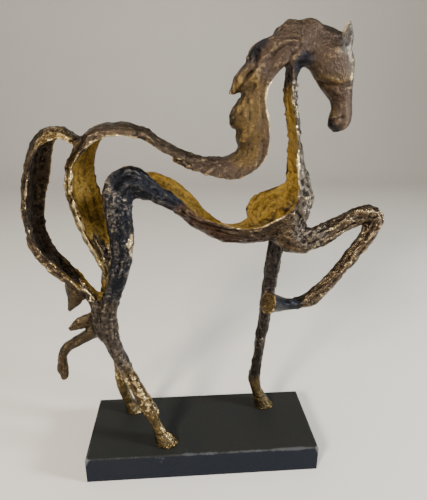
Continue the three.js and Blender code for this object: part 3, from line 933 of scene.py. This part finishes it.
def patina():
    """Dark bronze, rubbed to gold where it stands out, gilt in its hollows and near black on the thigh,
    with painted highlights, sheen and shade.
    """
    finish = Finish("patinated_metal")
    raised, combed, rub_and_painted_light = map(finish.mark, ("raised", "combed", "rub_and_painted_light"))
    gilt, charcoal, rust, leather = map(finish.mark, ("gilt", "charcoal", "rust", "leather"))
    silver_and_sheen, golden, hoof, tail_inside = map(finish.mark, ("silver_and_sheen", "golden", "hoof", "tail_inside"))
    patches = finish.speckle(PATCH_SIZE, 4.0)
    flecks = finish.speckle(FLECK_SIZE, 3.0, 0.6, shift=0.31)
    fine = finish.speckle(FINE_SIZE, 2.0, shift=0.77)

    # The colours that the metal was given, and those that it is worn to.
    cloudy = (patches + combed * 0.12).over(*CLOUDS)
    ground = finish.blend(leather, BRONZE, LEATHER)
    ground = finish.blend(rust, ground, RUST)
    ground = finish.blend(silver_and_sheen * 0.7, ground, PEWTER)
    ground = finish.blend(charcoal, ground, CHARCOAL)
    ground = finish.blend(golden * (0.45 + cloudy * 0.4), ground, OLIVE)
    ground = finish.blend(hoof * (0.35 + cloudy * 0.5), ground, HOOF_GOLD)
    wear = finish.blend(charcoal, finish.blend(silver_and_sheen, TAN, SILVER), ASH)
    wear = finish.blend(golden, wear, OLD_GOLD)

    # It is worn on its ridges and in flecks, and brightest where both meet the rubbed zones, whose mark
    # also carries painted highlights and painted shade.
    worked = (raised * 0.65 + combed * 0.12) * (1 - charcoal * 0.5)
    flecked = (flecks - 0.5) * (2.3 - leather * 0.9 - hoof * 1.1)
    patched = (patches - 0.5) * (0.9 + charcoal * 0.9)
    ridge = worked + flecked + patched + rub_and_painted_light * 0.6
    bright = (ridge + rub_and_painted_light * 0.35).over(*BRIGHT_WEAR_AND_GLINTS)
    ground = finish.blend(ridge.over(*WORN_THROUGH_AND_LIT) * 0.75, ground, wear)
    ground = finish.blend(bright * 0.85, ground, PALE_GOLD)

    # The gilt of the hollows, and the darkening in every dent: partly dark patina, partly painted shade in
    # the recesses.
    gilt_shade = (flecks + raised * 0.12 + (patches - 0.5) * 0.4).over(*GILT_SHADES)
    ground = finish.blend(gilt, ground, finish.blend(gilt_shade, DEEP_OCHRE, OCHRE))
    dents = (0.5 - flecks) * 1.7 - raised * 0.95 - combed * 0.1 - rub_and_painted_light * 0.1
    grime_and_shade = dents.over(*GRIMY_AND_SHADED) * (1 - gilt * 0.5 - leather * 0.4)
    ground = finish.blend(grime_and_shade * 0.85, ground, NEAR_BLACK)
    # a little darker inside the tail's hollow
    ground = finish.blend(tail_inside * 0.05, ground, NEAR_BLACK)

    rough = 0.25 + leather * 0.12 - bright * 0.05 + grime_and_shade * 0.25 + gilt * 0.22 + (fine - 0.5) * 0.15
    return finish.surface(
        {"Specular IOR Level": 0.3},
        Base_Color=ground,
        Roughness=rough.held(),
        Metallic=(0.92 - gilt * 0.5).held(),
        Normal=finish.bump(flecks * 0.9 + fine * 0.35, FLECK_DEPTH),
    )


# The plinth's paint: its cloudy top, its sides painted darker as shade with a bluish painted sheen, and
# what its dust, chips, worn edges and corners show.
TOP_SLATE, TOP_MOSS = (0.0137, 0.0150, 0.0147), (0.0160, 0.0162, 0.0142)
SHADED_SIDE_BLUE = (0.0034, 0.0056, 0.0120)
DUST_GREY, CHIP_GREY = (0.035, 0.036, 0.040), (0.07, 0.08, 0.10)
EDGE_GREY, CORNER_GREY = (0.14, 0.150, 0.16), (0.22, 0.22, 0.22)
CLOUD_SIZE, WEAR_SIZE, CHIP_SIZE, DUST_SIZE = 60 * MM, 34 * MM, 2.2 * MM, 1.2 * MM
PAINT_CLOUDS, DUSTY, CHIPPED = (0.35, 0.65), (0.60, 0.75), (0.70, 0.78)
TOP_ENDS = (0.8 * MM, 2.0 * MM)  # how far below the top face its colour turns to the sides'
EDGE_WEAR = (0.4 * MM, 2.0 * MM)  # how far from an edge the paint is worn, and from a corner
CORNER_WEAR = (2.5 * MM, 6.0 * MM)
PAINT_DEPTH, PAINT_STRENGTH = 0.35 * MM, 0.7


def plinth_paint():
    """Charcoal paint, cloudy on top, with painted shade and a bluish painted sheen on the sides, worn pale
    along the edges and chipped.
    """
    finish = Finish("charcoal_paint")
    cloud = finish.speckle(CLOUD_SIZE, 3.0)
    dust = finish.speckle(DUST_SIZE, 2.0, shift=0.4)
    chips = finish.speckle(CHIP_SIZE, 3.0, 0.7, shift=0.9)
    where = finish.speckle(WEAR_SIZE, 2.0, shift=0.2)
    along, across, up = finish.apart()
    from_ends = (PLINTH_HIGH[0] - abs(along)).held()
    from_sides = (PLINTH_HIGH[1] - abs(across)).held()
    below = (PLINTH_HIGH[2] - up).held()
    top = 1 - below.over(*TOP_ENDS)
    from_edge = below + from_ends.least(from_sides)
    from_corner = from_ends + from_sides
    ragged = (where - 0.5) * 9 * MM + (chips - 0.5) * 5 * MM
    worn = (1 - (from_edge + ragged).over(*EDGE_WEAR)).held()
    worn_corner = 1 - (from_corner + below * 0.5 + (chips - 0.5) * 4 * MM).over(*CORNER_WEAR)
    chipped = (chips + (where - 0.5) * 0.6).over(*CHIPPED) * (1 - top)

    ground = finish.blend(cloud.over(*PAINT_CLOUDS), TOP_SLATE, TOP_MOSS)
    # The sides take painted shade and a bluish painted sheen.
    ground = finish.blend(1 - top, ground, SHADED_SIDE_BLUE)
    ground = finish.blend(dust.over(*DUSTY) * 0.25, ground, DUST_GREY)
    ground = finish.blend(chipped * 0.5, ground, CHIP_GREY)
    ground = finish.blend(worn * 0.28, ground, EDGE_GREY)
    ground = finish.blend(worn_corner * 0.5, ground, CORNER_GREY)
    return finish.surface(
        {"Specular IOR Level": 0.18},
        Base_Color=ground,
        Roughness=0.58 + (cloud - 0.5) * 0.25,
        Normal=finish.bump(dust + chips * 0.8, PAINT_DEPTH, PAINT_STRENGTH),
    )


# ---- Camera, floor and light ----

VIEW_FROM = (-19.9 * MM, -420.9 * MM, 402.6 * MM)
VIEW_AROUND = math.radians(-4.48)
VIEW_DOWN = math.radians(19.43)
VIEW_ROLL = math.radians(0.343)
FILM, LENS = 36.0, 30.74
NEAREST_SEEN = 0.01

# The floor in metres: its half-width, where it starts in front, where the wall stands behind, the bend
# between them and the wall's height.
FLOOR_HALF, FLOOR_FRONT, WALL_AT, BEND, WALL_TOP = 4.0, -4.0, 2.6, 0.9, 3.2
BEND_STEPS = 12
FLOOR_PALE, FLOOR_PALER, FLOOR_MOTTLE, FLOOR_ROUGH = (0.74, 0.70, 0.63), (0.78, 0.74, 0.67), 0.25, 0.75

LIT_PLACE = (0, 0, 0.25)
LAMPS = [  # each lamp's name, place, size, power and colour
    ("key", (-0.8, -1.3, 1.1), 0.35, 44, (1.0, 0.93, 0.82)),
    ("window", (1.4, -0.5, 0.7), 0.35, 40, (0.90, 0.95, 1.0)),
    ("top", (-0.4, 0.2, 1.9), 1.4, 14, (1.0, 0.96, 0.9)),
]
ROOM_LIGHT, ROOM_STRENGTH = (0.80, 0.78, 0.74, 1), 0.22


def camera():
    lens = bpy.data.cameras.new("camera")
    lens.sensor_width = FILM
    lens.lens = LENS
    lens.clip_start = NEAREST_SEEN
    eye = linked(bpy.data.objects.new("camera", lens))
    turn = Matrix.Rotation(VIEW_AROUND, 4, "Z") @ Matrix.Rotation(math.pi / 2 - VIEW_DOWN, 4, "X")
    eye.matrix_world = Matrix.Translation(VIEW_FROM) @ turn @ Matrix.Rotation(VIEW_ROLL, 4, "Z")
    bpy.context.scene.camera = eye


def floor():
    """A plain pale floor that curves up behind into a plain pale wall."""
    profile = [(FLOOR_FRONT, 0.0)]
    for step in range(BEND_STEPS + 1):
        angle = math.pi / 2 * step / BEND_STEPS
        profile.append((WALL_AT - BEND + BEND * math.sin(angle), BEND - BEND * math.cos(angle)))
    profile.append((WALL_AT, WALL_TOP))
    verts = [(x, y, z) for y, z in profile for x in (-FLOOR_HALF, FLOOR_HALF)]
    faces = [(2 * i, 2 * i + 1, 2 * i + 3, 2 * i + 2) for i in range(len(profile) - 1)]
    mesh = bpy.data.meshes.new("floor")
    mesh.from_pydata(verts, [], faces)
    mesh.shade_smooth()
    finish = Finish("pale_floor")
    tone = finish.blend(finish.speckle(FLOOR_MOTTLE, 2.0), FLOOR_PALE, FLOOR_PALER)
    mesh.materials.append(finish.surface({"Roughness": FLOOR_ROUGH}, Base_Color=tone))
    linked(bpy.data.objects.new("floor", mesh))


def lamp(name, place, size, power, colour):
    light = bpy.data.lights.new(name, "AREA")
    light.shape = "DISK"
    light.size = size
    light.energy = power
    light.color = colour
    stand = linked(bpy.data.objects.new(name, light))
    away = Vector(place) - Vector(LIT_PLACE)
    stand.matrix_world = Matrix.Translation(place) @ away.to_track_quat("Z", "Y").to_matrix().to_4x4()


def studio():
    for one in LAMPS:
        lamp(*one)
    world = bpy.data.worlds.new("studio")
    world.use_nodes = True
    background = world.node_tree.nodes["Background"]
    background.inputs["Color"].default_value = ROOM_LIGHT
    background.inputs["Strength"].default_value = ROOM_STRENGTH
    bpy.context.scene.world = world


camera()
studio()
floor()

casting = horse_casting()
casting.data.materials.append(patina())
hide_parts("horse")
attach(casting, "root")

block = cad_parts["plinth"]
block.data.materials.clear()
block.data.materials.append(plinth_paint())
